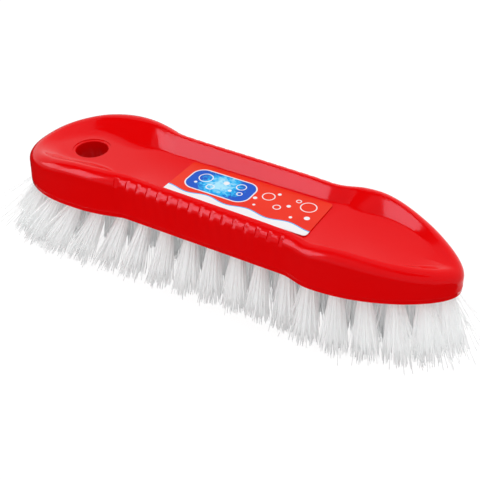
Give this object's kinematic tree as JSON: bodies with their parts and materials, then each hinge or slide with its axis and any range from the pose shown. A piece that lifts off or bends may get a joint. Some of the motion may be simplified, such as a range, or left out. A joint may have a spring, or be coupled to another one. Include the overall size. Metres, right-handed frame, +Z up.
{
  "type": "scrub brush",
  "caption": "Hand scrub brush: waisted, dished grip block with finger grooves and a hang hole, and splayed bristle tufts beneath.",
  "frame": {"origin": "centre of the rectangle that the brush covers, in the plane of the trimmed bristle ends on which it stands", "axes": "+Z up out of the dish, +X along the brush towards its narrow nose, away from the hang hole, +Y across it"},
  "size_m": [0.2146, 0.0685, 0.0479],
  "materials": {
    "block": "glossy red moulded plastic",
    "label": "satin orange-red printed film with plain coloured panels",
    "bristle": "translucent white filament with a soft sheen"
  },
  "bodies": {
    "root": {"block": "block", "label": "label", "tuft_far_01": "bristle", "tuft_far_02": "bristle", "tuft_far_03": "bristle", "tuft_far_04": "bristle", "tuft_far_05": "bristle", "tuft_far_06": "bristle", "tuft_far_07": "bristle", "tuft_far_08": "bristle", "tuft_far_09": "bristle", "tuft_far_10": "bristle", "tuft_far_11": "bristle", "tuft_far_12": "bristle", "tuft_far_13": "bristle", "tuft_far_14": "bristle", "tuft_far_15": "bristle", "tuft_far_16": "bristle", "tuft_far_17": "bristle", "tuft_far_18": "bristle", "tuft_inner_far_01": "bristle", "tuft_inner_far_02": "bristle", "tuft_inner_far_03": "bristle", "tuft_inner_far_04": "bristle", "tuft_inner_far_05": "bristle", "tuft_inner_far_06": "bristle", "tuft_inner_far_07": "bristle", "tuft_inner_far_08": "bristle", "tuft_inner_far_09": "bristle", "tuft_inner_far_10": "bristle", "tuft_inner_near_01": "bristle", "tuft_inner_near_02": "bristle", "tuft_inner_near_03": "bristle", "tuft_inner_near_04": "bristle", "tuft_inner_near_05": "bristle", "tuft_inner_near_06": "bristle", "tuft_inner_near_07": "bristle", "tuft_inner_near_08": "bristle", "tuft_inner_near_09": "bristle", "tuft_inner_near_10": "bristle", "tuft_near_01": "bristle", "tuft_near_02": "bristle", "tuft_near_03": "bristle", "tuft_near_04": "bristle", "tuft_near_05": "bristle", "tuft_near_06": "bristle", "tuft_near_07": "bristle", "tuft_near_08": "bristle", "tuft_near_09": "bristle", "tuft_near_10": "bristle", "tuft_near_11": "bristle", "tuft_near_12": "bristle", "tuft_near_13": "bristle", "tuft_near_14": "bristle", "tuft_near_15": "bristle", "tuft_near_16": "bristle", "tuft_near_17": "bristle", "tuft_near_18": "bristle", "tuft_nose_end": "bristle", "tuft_rear_end": "bristle"}
  },
  "joints": []
}
